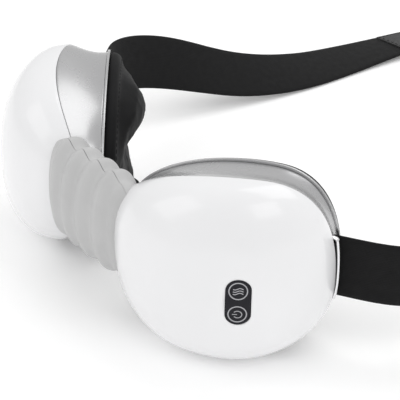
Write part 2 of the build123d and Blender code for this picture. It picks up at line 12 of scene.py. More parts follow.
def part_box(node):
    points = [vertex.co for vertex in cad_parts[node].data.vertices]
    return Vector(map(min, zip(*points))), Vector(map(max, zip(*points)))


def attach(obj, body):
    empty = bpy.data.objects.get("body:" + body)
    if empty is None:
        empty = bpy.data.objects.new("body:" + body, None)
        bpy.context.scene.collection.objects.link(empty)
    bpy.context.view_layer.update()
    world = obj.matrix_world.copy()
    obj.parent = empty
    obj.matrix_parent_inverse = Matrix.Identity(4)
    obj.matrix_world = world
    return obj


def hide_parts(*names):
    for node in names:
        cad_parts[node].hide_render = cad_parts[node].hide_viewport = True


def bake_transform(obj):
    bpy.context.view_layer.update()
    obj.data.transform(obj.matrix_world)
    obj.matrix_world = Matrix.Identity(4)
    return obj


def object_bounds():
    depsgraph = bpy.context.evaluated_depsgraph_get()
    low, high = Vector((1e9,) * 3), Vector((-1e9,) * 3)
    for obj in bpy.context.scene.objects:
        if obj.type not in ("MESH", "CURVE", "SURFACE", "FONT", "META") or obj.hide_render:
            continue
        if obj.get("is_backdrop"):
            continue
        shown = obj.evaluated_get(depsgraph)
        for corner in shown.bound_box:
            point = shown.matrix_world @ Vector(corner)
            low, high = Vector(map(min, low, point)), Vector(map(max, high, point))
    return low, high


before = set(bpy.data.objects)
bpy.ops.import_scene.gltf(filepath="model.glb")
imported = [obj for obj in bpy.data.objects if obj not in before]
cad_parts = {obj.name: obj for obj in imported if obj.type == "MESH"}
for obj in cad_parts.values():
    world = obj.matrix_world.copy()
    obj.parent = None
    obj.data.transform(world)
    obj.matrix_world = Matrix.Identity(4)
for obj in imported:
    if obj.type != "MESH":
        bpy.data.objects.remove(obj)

bl_info = {
    "name": "Eye Massager Mask",
    "version": (1, 0, 0),
    "blender": (4, 5, 0),
    "location": "View3D > Sidebar > Mask",
    "description": "Builds the covers, pads, bridge, straps and controls of a folding eye massager mask",
    "category": "Add Mesh",
}

MM = 0.001
RIGHT, LEFT = 1, -1
SIDES = (("right", RIGHT), ("left", LEFT))

# The pod's own frame: u outward along the mask, v up, w back towards the face.
POD_SWING = math.radians(34.0)
OUTWARD = np.array((math.cos(POD_SWING), math.sin(POD_SWING), 0.0))
FORWARD = np.array((math.sin(POD_SWING), -math.cos(POD_SWING), 0.0))
UPWARD = np.array((0.0, 0.0, 1.0))
POD_OUT, POD_FORWARD = 55.0, 21.5
HALF_WIDTH, HALF_HEIGHT = 43.0, 36.5
POD_MIDDLE = HALF_HEIGHT * UPWARD + POD_OUT * OUTWARD + POD_FORWARD * FORWARD
CREST_U, BELLY_U, NOSE_V, TEMPLE_V = 14.4, 4.0, 7.8, -4.1
UPPER_TEMPLE, UPPER_NOSE, LOWER_NOSE, LOWER_TEMPLE = 2.45, 1.87, 2.57, 2.18
DOME_DEPTH, DOME_POWER, RIM_SWEEP = 23.0, 2.3, 11.3
BAND_DEPTH, FRAME_DEPTH = 20.1, 1.2
SLOT_V, SLOT_HALF_HEIGHT, SLOT_FRONT, SLOT_BACK, BAR_W = -0.6, 12.8, 13.2, 18.9, 15.3
PAD_FRONT = BAND_DEPTH + FRAME_DEPTH
FOLD_GAP = 0.5                      # from a face pad to the middle between the folded pods
FOLDED_SHUT = math.radians(78.0)    # turn of the left pod from rest to shut
PAD_DROP = 1.5
# Inset and height of the pad's wall, from its foot to the stitched shoulder.
PAD_WALL = (
    (3.2, 0.05), (2.35, 0.1), (1.95, 0.5), (1.7, 1.3), (1.75, 2.4),
    (2.2, 3.5), (3.1, 4.4), (3.9, 4.8), (4.4, 4.75), (5.2, 5.1),
)
SEAM_INSET, SEAM_LIFT = 4.15, 4.85
CREASES = ((0.09, 0.55), (0.3, 0.16))    # scale and depth of the folds in the pad's cover
PANEL_U, PANEL_V, PANEL_WIDTH, PANEL_LENGTH = 16.7, -2.1, 9.2, 18.7
BUTTON_PITCH = 9.6
PANEL_LEAN = 0.94     # cosine of the panel's lean from the pod's own plane

BRIDGE_HEIGHT, BRIDGE_FORWARD, SEAM_Y = 39.6, 4.0, -5.5
BRIDGE_HALF_DEPTH, BRIDGE_HALF_HEIGHT, BRIDGE_POWER = 10.0, 20.3, 2.3
BRIDGE_OVERLAP = 6.5
SEAM_REACH_LIMIT = 0.6              # keeps the seam on the tapered ends
RIB_SWELL, TOP_SWELL = 0.8, 0.55    # shares of a rib's rise all round and over the top
LEAD_LEVEL, LEAD_RADIUS, TUBE_LEVEL, TUBE_RADIUS = 32.85, 0.9, 42.4, 1.1
KNUCKLE_RADIUS = 3.4

STRAP_W = 18.0
# Runs of the strap halves from their slots: outward, backward, height, lean in degrees.
LEFT_RUN = (
    (28.6, 22, 36.5, 18), (38.1, 58, 28.2, 40), (37.7, 96, 14.6, 57),
    (38.7, 136.5, 6.4, 73), (44, 179, 3.2, 86), (47, 221, 3.0, 97), (49, 261, 3.0, 97),
)
RIGHT_RUN = (
    (15.6, 17, 34.4, 7), (20, 43, 32, 11), (26, 70, 24.5, 20),
    (33.5, 103, 15.6, 45), (40, 139, 7.4, 70), (44, 175, 2.8, 88), (47, 209, 1.4, 90),
)
TAPE_WIDTH, TAPE_THICKNESS, TAPE_END = 22.0, 0.8, 31 / 32
# Each half's tape: its finish, where it starts as a share of the strap, and its frame node.
STRAP_TAPES = {
    RIGHT: ("loop_tape", 20 / 32, "right_loop_patch"),
    LEFT: ("hook_tape", 26 / 32, "left_hook_patch"),
}


# ---- the pod's surfaces ----


def place(u, v, w, side=RIGHT):
    """Points of a pod in millimetres, from its own coordinates."""
    u, v, w = np.broadcast_arrays(*(np.asarray(x, float) for x in (u, v, w)))
    points = POD_MIDDLE + u[..., None] * OUTWARD + v[..., None] * UPWARD - w[..., None] * FORWARD
    points[..., 0] *= side
    return points


def signed_power(value, exponent):
    return np.sign(value) * np.abs(value) ** exponent


def rim(u):
    """Depth of the rim, which sweeps back towards the nose and the temple."""
    return RIM_SWEEP * (u / HALF_WIDTH) ** 2


def outline(angle, inset=0.0, drop=0.0):
    """Points (u, v) of the pod's outline, drawn in by inset and lowered by drop."""
    c, s = np.cos(angle), np.sin(angle)
    temple, upper = c >= 0, s >= 0
    upper_power = np.where(temple, UPPER_TEMPLE, UPPER_NOSE)
    lower_power = np.where(temple, LOWER_TEMPLE, LOWER_NOSE)
    power = np.where(upper, upper_power, lower_power)
    middle_u = np.where(upper, CREST_U, BELLY_U)
    middle_v = np.where(temple, TEMPLE_V, NOSE_V)
    reach_u = HALF_WIDTH - inset - middle_u * np.where(temple, 1, -1)
    reach_v = HALF_HEIGHT - inset - middle_v * np.where(upper, 1, -1)
    edge_u = middle_u + reach_u * signed_power(c, 2 / power)
    edge_v = middle_v + reach_v * signed_power(s, 2 / power) - drop
    return edge_u, edge_v


def edge_height(u, upper):
    """Height v of the outline's upper or lower edge at u."""
    middle_u, sign = (CREST_U, 1) if upper else (BELLY_U, -1)
    temple = u >= middle_u
    temple_power, nose_power = (UPPER_TEMPLE, UPPER_NOSE) if upper else (LOWER_TEMPLE, LOWER_NOSE)
    power = np.where(temple, temple_power, nose_power)
    middle_v = np.where(temple, TEMPLE_V, NOSE_V)
    reach_u = HALF_WIDTH + np.where(temple, -middle_u, middle_u)
    share = np.minimum(1.0, np.abs(u - middle_u) / reach_u)
    return middle_v + sign * (HALF_HEIGHT - sign * middle_v) * (1 - share ** power) ** (1 / power)


def dome_rise(u, v):
    """How far the domed face stands ahead of the rim, from 0 to 1."""
    top, bottom = edge_height(u, True), edge_height(u, False)
    middle, half = (top + bottom) / 2, np.maximum((top - bottom) / 2, 1e-6)
    across = np.clip(1 - np.abs(u / HALF_WIDTH) ** DOME_POWER, 0, 1) ** (1 / DOME_POWER)
    along = np.clip(1 - np.abs((v - middle) / half) ** DOME_POWER, 0, 1) ** (1 / DOME_POWER)
    return across * along


def dome_point(u, v, lift=0.0, side=RIGHT):
    """Point of the domed face, or lift millimetres ahead of it."""
    return place(u, v, rim(u) - DOME_DEPTH * dome_rise(u, v) - lift, side)


# ---- meshes ----


def new_piece(name, points, faces, material, smooth=True, recalculate=True):
    """A mesh object from points in millimetres, with its faces turned outward."""
    mesh = bpy.data.meshes.new(name)
    mesh.from_pydata([tuple(p) for p in np.asarray(points) * MM], [], faces)
    mesh.update()
    if recalculate:
        turn_outward(mesh)
    for polygon in mesh.polygons:
        polygon.use_smooth = smooth
    mesh.materials.append(material)
    piece = bpy.data.objects.new(name, mesh)
    bpy.context.scene.collection.objects.link(piece)
    return piece


def turn_outward(mesh):
    shape = bmesh.new()
    shape.from_mesh(mesh)
    bmesh.ops.recalc_face_normals(shape, faces=shape.faces)
    shape.to_mesh(mesh)
    shape.free()


def grid_faces(rows, count, closed_ring=True, closed_rows=False):
    """Quads between rows of points, with each row a closed ring or an open line."""
    faces = []
    for r in range(rows if closed_rows else rows - 1):
        below, above = r * count, ((r + 1) % rows) * count
        for i in range(count if closed_ring else count - 1):
            j = (i + 1) % count
            faces.append((below + i, below + j, above + j, above + i))
    return faces


def end_caps(rows, count):
    """One face over the first ring and one over the last."""
    return [tuple(range(count)), tuple(range((rows - 1) * count, rows * count))]


def apply_modifiers(piece):
    """Turns a piece with modifiers into a plain mesh."""
    bpy.context.view_layer.update()
    depsgraph = bpy.context.evaluated_depsgraph_get()
    mesh = bpy.data.meshes.new_from_object(piece.evaluated_get(depsgraph))
    piece.modifiers.clear()
    piece.data = mesh
    return piece


def thicken(piece, thickness, offset=-1.0, bevel=0.0):
    """Gives a surface its wall, inward for offset -1, and rounds its sharp edges."""
    solid = piece.modifiers.new("wall", "SOLIDIFY")
    solid.thickness, solid.offset, solid.use_even_offset = thickness * MM, offset, True
    if bevel:
        rounding = piece.modifiers.new("edge", "BEVEL")
        rounding.width, rounding.segments = bevel * MM, 2
        rounding.limit_method, rounding.angle_limit = "ANGLE", math.radians(50)
    return apply_modifiers(piece)


def settle(piece, body, replaced):
    """Fixes a finished piece to its body and hides the frame nodes that it stands for."""
    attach(piece, body)
    if replaced:
        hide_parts(*replaced)
    return piece


# ---- materials ----


def shader(name, color, roughness, metallic=0.0, **sockets):
    material = bpy.data.materials.new(name)
    material.use_nodes = True
    bsdf = material.node_tree.nodes["Principled BSDF"]
    bsdf.inputs["Base Color"].default_value = (*color, 1.0)
    bsdf.inputs["Roughness"].default_value = roughness
    bsdf.inputs["Metallic"].default_value = metallic
    for socket, value in sockets.items():
        bsdf.inputs[socket.replace("_", " ")].default_value = value
    return material, bsdf


def node(material, kind, **values):
    made = material.node_tree.nodes.new(kind)
    for name, value in values.items():
        if name in made.inputs:
            made.inputs[name].default_value = value
        else:
            setattr(made, name, value)
    return made


def coordinates(material, output="Object", scale=(1, 1, 1)):
    link = material.node_tree.links.new
    source, mapping = node(material, "ShaderNodeTexCoord"), node(material, "ShaderNodeMapping")
    mapping.inputs["Scale"].default_value = scale
    link(source.outputs[output], mapping.inputs["Vector"])
    return mapping.outputs["Vector"]


def noise_value(material, vector, scale, detail=3.0):
    texture = node(material, "ShaderNodeTexNoise", Scale=scale, Detail=detail)
    material.node_tree.links.new(vector, texture.inputs["Vector"])
    return texture.outputs["Fac"]


def vary(material, bsdf, value, color, spread):
    """Lets the colour drift about its middle with a texture."""
    ramp = node(material, "ShaderNodeValToRGB")
    for element, factor in zip(ramp.color_ramp.elements, (1 - spread, 1 + spread)):
        element.color = (*(min(1.0, c * factor) for c in color), 1.0)
    ramp.color_ramp.elements[0].position, ramp.color_ramp.elements[1].position = 0.3, 0.7
    material.node_tree.links.new(value, ramp.inputs["Fac"])
    material.node_tree.links.new(ramp.outputs["Color"], bsdf.inputs["Base Color"])


def roughen(material, bsdf, value, low, high):
    span = node(material, "ShaderNodeMapRange")
    span.inputs["To Min"].default_value, span.inputs["To Max"].default_value = low, high
    material.node_tree.links.new(value, span.inputs["Value"])
    material.node_tree.links.new(span.outputs["Result"], bsdf.inputs["Roughness"])


def emboss(material, bsdf, heights, depth):
    """Bump from one or more heights, each with its own strength, depth in millimetres."""
    link, previous = material.node_tree.links.new, None
    for value, strength in heights:
        bump = node(material, "ShaderNodeBump", Strength=strength, Distance=depth * MM)
        link(value, bump.inputs["Height"])
        if previous is not None:
            link(previous.outputs["Normal"], bump.inputs["Normal"])
        previous = bump
    link(previous.outputs["Normal"], bsdf.inputs["Normal"])


def gloss_finish(name, color, roughness=0.2, coat=0.5, peel=0.05):
    """Glossy moulded plastic with a faint orange peel."""
    material, bsdf = shader(name, color, roughness, Coat_Weight=coat, Coat_Roughness=0.06)
    vector = coordinates(material)
    vary(material, bsdf, noise_value(material, vector, 35.0), color, 0.012)
    roughen(material, bsdf, noise_value(material, vector, 120.0), roughness * 0.8, roughness * 1.25)
    emboss(material, bsdf, [(noise_value(material, vector, 420.0, 2.0), peel)], 0.15)
    return material


def metal_finish(name, color, roughness, metallic=1.0, flake=0.05, coat=0.0):
    """Painted or plated metal with a fine flake."""
    material, bsdf = shader(name, color, roughness, metallic, Coat_Weight=coat, Coat_Roughness=0.12)
    vector = coordinates(material)
    vary(material, bsdf, noise_value(material, vector, 3200.0, 2.0), color, flake * 0.2)
    roughen(material, bsdf, noise_value(material, vector, 90.0), roughness * 0.8, roughness * 1.2)
    emboss(material, bsdf, [(noise_value(material, vector, 2600.0, 2.0), flake)], 0.02)
    return material


def moulded_finish(name, color, roughness=0.5, grain=0.25, gleam=0.5):
    """Matte moulded plastic or rubber with a fine grain."""
    material, bsdf = shader(name, color, roughness, Specular_IOR_Level=gleam)
    vector = coordinates(material)
    vary(material, bsdf, noise_value(material, vector, 60.0), color, 0.05)
    matt, silky = min(1.0, roughness * 1.15), roughness * 0.85
    roughen(material, bsdf, noise_value(material, vector, 200.0), silky, matt)
    emboss(material, bsdf, [(noise_value(material, vector, 1800.0, 4.0), grain)], 0.06)
    return material


def leather_finish(name, color):
    """Soft coated fabric: pebbled grain, soft creases and a slight sheen."""
    material, bsdf = shader(name, color, 0.6)
    bsdf.inputs["Specular IOR Level"].default_value = 0.1
    vector = coordinates(material)
    cells = node(material, "ShaderNodeTexVoronoi", Scale=1500.0, feature="DISTANCE_TO_EDGE")
    material.node_tree.links.new(vector, cells.inputs["Vector"])
    creases = noise_value(material, coordinates(material, scale=(1, 1, 2.4)), 95.0, 5.0)
    vary(material, bsdf, noise_value(material, vector, 45.0), color, 0.25)
    roughen(material, bsdf, creases, 0.45, 0.68)
    emboss(material, bsdf, [(cells.outputs["Distance"], 0.35), (creases, 0.3)], 0.2)
    return material


def woven_finish(name, color, rib_pitch, pick_pitch):
    """Woven elastic: cords along the band crossed by fine picks, from the piece's own map in metres."""
    material, bsdf = shader(name, color, 0.72, Sheen_Weight=0.03, Sheen_Roughness=0.45)
    bsdf.inputs["Specular IOR Level"].default_value = 0.18
    link = material.node_tree.links.new
    vector = coordinates(material, "UV")
    cord_scale, pick_scale = (math.tau / (20 * pitch * MM) for pitch in (rib_pitch, pick_pitch))
    cords = node(material, "ShaderNodeTexWave", Scale=cord_scale, bands_direction="X")
    picks = node(material, "ShaderNodeTexWave", Scale=pick_scale, bands_direction="Y")
    for wave in (cords, picks):
        link(vector, wave.inputs["Vector"])
    both = node(material, "ShaderNodeMath", operation="MULTIPLY")
    link(cords.outputs["Fac"], both.inputs[0])
    link(picks.outputs["Fac"], both.inputs[1])
    vary(material, bsdf, both.outputs["Value"], color, 0.3)
    roughen(material, bsdf, noise_value(material, vector, 300.0), 0.62, 0.85)
    emboss(material, bsdf, [(cords.outputs["Fac"], 0.25), (picks.outputs["Fac"], 0.2)], 0.08)
    return material


def tape_finish(name, color, scale):
    """Hook or loop tape: a dense fuzz."""
    material, bsdf = shader(name, color, 0.9, Sheen_Weight=0.12, Sheen_Roughness=0.6)
    vector = coordinates(material)
    cells = node(material, "ShaderNodeTexVoronoi", Scale=scale)
    material.node_tree.links.new(vector, cells.inputs["Vector"])
    vary(material, bsdf, noise_value(material, vector, scale * 0.6), color, 0.5)
    fuzz = noise_value(material, vector, scale, 4.0)
    emboss(material, bsdf, [(cells.outputs["Distance"], 0.9), (fuzz, 0.6)], 0.3)
    return material


def make_finishes():
    """Every finish by its slot name."""
    colors = bpy.context.scene.mask_finish
    return {
        "cover_white": gloss_finish("cover_white", tuple(colors.cover), 0.22),
        "band_silver": metal_finish("band_silver", tuple(colors.band), 0.27, 0.85, 0.02, 0.25),
        "bar_chrome": metal_finish("bar_chrome", (0.82, 0.82, 0.83), 0.16, flake=0.04),
        "button_ring": metal_finish("button_ring", tuple(colors.ring), 0.4, 0.6),
        "bridge_silicone": moulded_finish("bridge_silicone", tuple(colors.bridge), 0.5, 0.15),
        "pad_cover": leather_finish("pad_cover", tuple(colors.pad)),
        "strap_webbing": woven_finish("strap_webbing", tuple(colors.strap), 0.7, 0.45),
        "hook_tape": tape_finish("hook_tape", (0.022, 0.022, 0.023), 1400.0),
        "loop_tape": tape_finish("loop_tape", (0.03, 0.03, 0.031), 900.0),
        "panel_black": moulded_finish("panel_black", tuple(colors.panel), 0.45, 0.1, 0.2),
        "inner_plastic": moulded_finish("inner_plastic", (0.62, 0.62, 0.63), 0.5),
        "hinge_nylon": moulded_finish("hinge_nylon", (0.12, 0.12, 0.13), 0.45),
        "steel": metal_finish("steel", (0.56, 0.56, 0.58), 0.3),
        "airbag_film": moulded_finish("airbag_film", (0.6, 0.6, 0.58), 0.35),
        "heater_film": moulded_finish("heater_film", (0.55, 0.27, 0.06), 0.35),
        "board_green": moulded_finish("board_green", (0.03, 0.2, 0.09), 0.35),
        "motor_steel": metal_finish("motor_steel", (0.5, 0.5, 0.52), 0.35),
        "valve_white": moulded_finish("valve_white", (0.75, 0.75, 0.72), 0.4),
        "speaker_black": moulded_finish("speaker_black", (0.04, 0.04, 0.04), 0.55),
        "battery_foil": metal_finish("battery_foil", (0.68, 0.69, 0.71), 0.35),
        "wire_red": moulded_finish("wire_red", (0.42, 0.03, 0.03), 0.4),
        "tube_clear": moulded_finish("tube_clear", (0.7, 0.7, 0.68), 0.3),
    }


finishes = {}


# ---- covers, bands and frames ----


def stadium_reach(direction, half_width, half_length):
    """Distance from a stadium's centre to its edge, with its long axis along v."""
    c, s = np.abs(np.cos(direction)), np.abs(np.sin(direction))
    straight = half_length - half_width
    side_reach = half_width / np.maximum(c, 1e-9)
    root = np.sqrt(np.maximum(half_width ** 2 - (straight * c) ** 2, 0))
    return np.where(side_reach * s <= straight, side_reach, straight * s + root)


def make_cover(name, side, segments):
    """Domed shell with a rolled rim and, on the right, the panel's window."""
    steps, wall, window_gap, crown_gap = 56, 2.0, 0.1, 0.4
    lip_section = ((0.04, 0.14), (0.16, 0.26), (0.4, 0.3))    # inset and depth past the rim
    angles = np.arange(segments) * math.tau / segments
    edge_u, edge_v = outline(angles)
    centre_u, centre_v = (PANEL_U, PANEL_V) if side == RIGHT else (0.0, 0.0)
    direction = np.arctan2(edge_v - centre_v, edge_u - centre_u)
    if side == RIGHT:
        half_width = PANEL_WIDTH / 2 * PANEL_LEAN + window_gap
        start = stadium_reach(direction, half_width, PANEL_LENGTH / 2 + window_gap)
    else:
        start = np.full(segments, crown_gap)
    start_u, start_v = centre_u + start * np.cos(direction), centre_v + start * np.sin(direction)
    shares = np.sin(np.linspace(0, math.pi / 2, steps))
    outer, inner = [], []
    shrink = 1 - wall / HALF_WIDTH
    for share in shares:
        u, v = start_u + (edge_u - start_u) * share, start_v + (edge_v - start_v) * share
        outer.append(dome_point(u, v, 0.0, side))
    for share in shares[::-2]:
        u, v = start_u + (edge_u - start_u) * share, start_v + (edge_v - start_v) * share
        rise = (DOME_DEPTH - wall) * dome_rise(u, v)
        tuck = lip_section[-1][1] * (share > 0.9999)
        inner.append(place(u * shrink, v * shrink, rim(u) - rise + tuck, side))
    lip = [place(*outline(angles, inset), rim(edge_u) + depth, side) for inset, depth in lip_section]
    rings = outer + lip + inner
    faces = grid_faces(len(rings), segments, closed_rows=side == RIGHT)
    if side == LEFT:
        faces += end_caps(len(rings), segments)
    return new_piece(name, np.concatenate(rings), faces, finishes["cover_white"])


def slot_angles():
    """Outline angles of the strap slot's lower and upper ends."""
    lower_reach = HALF_HEIGHT + TEMPLE_V
    upper_reach = HALF_HEIGHT - TEMPLE_V
    low = (TEMPLE_V - SLOT_V + SLOT_HALF_HEIGHT) / lower_reach
    high = (SLOT_V + SLOT_HALF_HEIGHT - TEMPLE_V) / upper_reach
    return -math.asin(low ** (LOWER_TEMPLE / 2)), math.asin(high ** (UPPER_TEMPLE / 2))


def make_band(name, side, segments, waist):
    """Waisted silver band between the cover's rim and the rear frame, open at the strap slot."""
    low, high = slot_angles()
    slot_points = 28
    over_slot = np.linspace(low, high, slot_points)
    round_pod = np.linspace(high, low + math.tau, segments - slot_points + 2)[1:-1]
    angles = np.concatenate((over_slot, round_pod))
    rim_gap, step_in, taper, drop, wall, edge = 0.5, 0.2, 1.3, 1.5, 1.8, 0.15
    front = rim(outline(angles)[0]) + rim_gap
    rows = []
    spans = [(front, SLOT_FRONT, 14), (SLOT_FRONT, SLOT_BACK, 8), (SLOT_BACK, BAND_DEPTH, 2)]
    for near, far, steps in spans:
        for i in range(steps):
            rows.append(near + (far - near) * i / steps)
    rows.append(np.full(len(angles), BAND_DEPTH))
    rings = []
    for row in rows:
        depth = np.broadcast_to(row, angles.shape)
        t = (depth - front) / (BAND_DEPTH - front)
        inset = step_in + taper * t * t * (3 - 2 * t) + waist * np.sin(math.pi * t)
        u, v = outline(angles, inset)
        rings.append(place(u, v - drop * t, depth, side))
    count = len(angles)
    faces = grid_faces(len(rings), count)
    slot_rows, slot_columns = range(spans[0][2], spans[0][2] + spans[1][2]), range(slot_points - 1)
    open_faces = {r * count + i for r in slot_rows for i in slot_columns}
    faces = [f for n, f in enumerate(faces) if n not in open_faces]
    piece = new_piece(name, np.concatenate(rings), faces, finishes["band_silver"])
    centre = place(0.0, 0.0, BAND_DEPTH / 2, side) * MM
    first = piece.data.polygons[0]
    if first.normal.dot(first.center - Vector(centre)) < 0:
        piece.data.flip_normals()
    return thicken(piece, wall, -1.0, edge)


def make_rear_frame(name, side, segments):
    """Thin silver ring behind the band, a little proud of it."""
    angles = np.arange(segments) * math.tau / segments
    drop = 1.0
    # Inset and depth behind the band.
    section = (
        (3.4, 0.15), (1.2, 0.15), (1.03, 0.25), (0.97, 0.45),
        (0.97, 0.85), (1.03, 1.08), (1.2, FRAME_DEPTH), (3.4, FRAME_DEPTH),
    )
    rings = [place(*outline(angles, inset, drop), BAND_DEPTH + depth, side) for inset, depth in section]
    faces = grid_faces(len(rings), segments, closed_rows=True)
    return new_piece(name, np.concatenate(rings), faces, finishes["band_silver"])


def make_bar(name, side):
    """Polished bar across the strap slot, bowed with the pod's edge, its ends sunk in the band."""
    low, high = slot_angles()
    count, ring = 40, 12
    past, straight, sunk = 0.035, 0.86, 2.2    # radians past the slot, straight share, sinking of the ends
    half_height, half_width, set_back = 0.8, 1.15, 0.25
    around = np.arange(ring) * math.tau / ring
    rows = []
    for i in range(count):
        share = i / (count - 1)
        angle = low - past + (high - low + 2 * past) * share
        tuck = sunk * max(0.0, abs(2 * share - 1) - straight) / (1 - straight)
        proud = half_height * np.cos(around) - set_back - tuck
        u, v = outline(np.full(ring, angle), -proud)
        rows.append(place(u, v, BAR_W + half_width * np.sin(around), side))
    faces = grid_faces(count, ring) + end_caps(count, ring)
    return new_piece(name, np.concatenate(rows), faces, finishes["bar_chrome"])


# ---- face pads ----


def mound(u, v, centre, reach_u, reach_up, reach_down):
    """Soft swelling, from 0 to 1, whose falls above and below its middle may differ."""
    rise = (v - centre[1]) / np.where(v > centre[1], reach_up, reach_down)
    return np.exp(-np.abs((u - centre[0]) / reach_u) ** 2.6 - np.abs(rise) ** 2.2)


def pad_height(u, v, brow, cheek):
    """Height of the pad's face above its shoulder, from its brow, cheek and nose mounds."""
    sag, sag_start, nose_share = 0.3, 4, 0.3    # the brow mound sinks towards the temple
    height = brow * mound(u, v + sag * np.maximum(u - sag_start, 0), (6.0, 14.6), 27.0, 13.5, 5.2)
    height += cheek * mound(u, v, (-2.0, -17.0), 24.0, 11.0, 9.0)
    height += nose_share * cheek * mound(u, v, (-29.0, 1.0), 10.0, 9.0, 16.0)
    return height


def fold_room(u):
    """Height above the frame that is clear of the other pad when the mask is folded shut."""
    half_fold = FOLDED_SHUT / 2
    middle = np.array((math.cos(half_fold), -math.sin(half_fold), 0.0))
    return (middle @ POD_MIDDLE + u * (middle @ OUTWARD) - FOLD_GAP) / (middle @ FORWARD) - PAD_FRONT


def crease(point, scale, depth):
    return depth * noise.fractal(Vector(point) * scale, 1.0, 2.0, 4)


def make_pad(name, side, segments, sizes):
    """Stuffed pad: rounded wall, stitched shoulder and mounds round the eye."""
    angles = np.arange(segments) * math.tau / segments
    rings = [place(*outline(angles, inset, PAD_DROP), PAD_FRONT + depth, side) for inset, depth in PAD_WALL]
    shoulder_inset, shoulder = PAD_WALL[-1]
    shoulder_u, shoulder_v = outline(angles, shoulder_inset, PAD_DROP)
    steps, covered, edge_share, crown = 46, 0.985, 0.16, 1.2
    for i in range(1, steps + 1):
        share = 1 - covered * i / steps
        u, v = shoulder_u * share, shoulder_v * share
        edge = np.clip((1 - share) / edge_share, 0, 1)
        mounds = pad_height(u, v, sizes.brow, sizes.cheek) * edge * edge * (3 - 2 * edge)
        height = shoulder + crown * edge + mounds
        over = height - fold_room(u)
        height = height - edge * (over + np.hypot(over, FOLD_GAP)) / 2
        ring = place(u, v, PAD_FRONT + height, side)
        wrinkle = np.array([sum(crease(p, *fold) for fold in CREASES) for p in ring]) * edge
        rings.append(ring - wrinkle[:, None] * FORWARD * (side, 1, 1))
    faces = grid_faces(len(rings), segments) + end_caps(len(rings), segments)
    return new_piece(name, np.concatenate(rings), faces, finishes["pad_cover"])


# ---- bridge and web ----


def bridge_ring(x, gap, front, points, sizes, inset):
    """Open line round the front or rear of the bridge at x, gap radians short of the seam at each end."""
    slimming, taper, taper_power = 0.22, 0.26, 1.6    # the depth slims outward, and the ends taper
    half_length = sizes.pitch * sizes.ribs / 2
    fade = 1 - slimming * min(1.0, abs(x) / half_length) ** 2
    wave = -math.cos(math.tau * x / sizes.pitch) if abs(x) < half_length else -1.0
    inset = inset + taper * max(0.0, abs(x) - half_length) ** taper_power
    depth_front = BRIDGE_HALF_DEPTH * fade + sizes.rise * wave - inset
    seam_reach = min(SEAM_REACH_LIMIT, -(SEAM_Y + BRIDGE_FORWARD) / depth_front)
    seam = math.acos(-seam_reach ** (BRIDGE_POWER / 2))
    first, last = (seam + gap, math.tau - seam - gap) if front else (-seam + gap, seam - gap)
    angle = np.linspace(first, last, points)
    swell = sizes.rise * wave * (RIB_SWELL + TOP_SWELL * np.clip(np.sin(angle), 0, 1) ** 3)
    half_y = BRIDGE_HALF_DEPTH * np.where(np.cos(angle) < 0, fade, 1.0) + swell - inset
    half_z = BRIDGE_HALF_HEIGHT + swell - inset
    y = -BRIDGE_FORWARD + half_y * signed_power(np.cos(angle), 2 / BRIDGE_POWER)
    z = BRIDGE_HEIGHT + half_z * signed_power(np.sin(angle), 2 / BRIDGE_POWER)
    return np.stack((np.full(points, x), y, z), -1)


def make_bridge_shell(name, front, sizes):
    """Front or rear half of the ribbed silicone sleeve."""
    reach = sizes.pitch * sizes.ribs / 2 + BRIDGE_OVERLAP
    rows, points = 36 * sizes.ribs + 1, 72
    gap, inset = 0.012, 0.0 if front else 0.18
    wall, edge = 1.2, 0.3
    lines = [bridge_ring(x, gap, front, points, sizes, inset) for x in np.linspace(-reach, reach, rows)]
    faces = grid_faces(rows, points, closed_ring=False)
    piece = new_piece(name, np.concatenate(lines), faces, finishes["bridge_silicone"])
    middle = piece.data.polygons[len(piece.data.polygons) // 2]
    centre = Vector((0.0, -BRIDGE_FORWARD, BRIDGE_HEIGHT)) * MM
    if middle.normal.dot(middle.center - centre) < 0:
        piece.data.flip_normals()
    return thicken(piece, wall, -1.0, edge)


def make_lead(name, level, radius, material):
    """Wires or air tube from the right chassis to the left one, ahead of the knuckles."""
    facets, knuckle_gap = 12, 0.7
    half = [place(-27.0, 0, 10.2), place(-37.0, 0, 11.2), place(-41.5, 0, 14.6)]
    half.append(np.array((5.0, -KNUCKLE_RADIUS - radius - knuckle_gap, 0.0)))
    route = np.array(half + [p * (-1, 1, 1) for p in half[::-1]])
    route[:, 2] = level
    spans = zip(route[:-1], route[1:])
    fine = np.concatenate([np.linspace(here, there, 20, endpoint=False) for here, there in spans])
    for _ in range(6):
        fine[1:-1] = (fine[:-2] + 2 * fine[1:-1] + fine[2:]) / 4
    along = np.gradient(fine, axis=0)
    along /= np.linalg.norm(along, axis=1)[:, None]
    beside = np.cross(along, UPWARD)
    around = np.arange(facets) * math.tau / facets
    c, s = np.cos(around)[None, :, None], np.sin(around)[None, :, None]
    rows = fine[:, None] + radius * (c * beside[:, None] + s * UPWARD)
    faces = grid_faces(len(fine), facets) + end_caps(len(fine), facets)
    return new_piece(name, rows.reshape(-1, 3), faces, material)


def make_web(name):
    """Soft black lining behind the bridge, from pad to pad."""
    end = place(-HALF_WIDTH + 0.6, 0.0, PAD_FRONT + 0.9)
    low, high, bow = BRIDGE_HEIGHT - 17, BRIDGE_HEIGHT + 6, 6.0
    wall, edge, waviness = 1.5, 0.4, 0.25
    columns, rows = 48, 24
    points = []
    for z in np.linspace(low, high, rows + 1):
        pinch = 1 - 0.05 * math.sin(math.pi * (z - low) / (high - low))
        for x in np.linspace(-end[0], end[0], columns + 1):
            t = x / end[0]
            y = end[1] + bow * (1 - abs(t) ** 2.2) * pinch + wall / 2
            points.append((x, y + waviness * noise.noise(Vector((x, y, z)) * 0.2), z))
    faces = grid_faces(rows + 1, columns + 1, closed_ring=False)
    piece = new_piece(name, points, faces, finishes["pad_cover"])
    return thicken(piece, wall, 0.0, edge)


# ---- straps ----


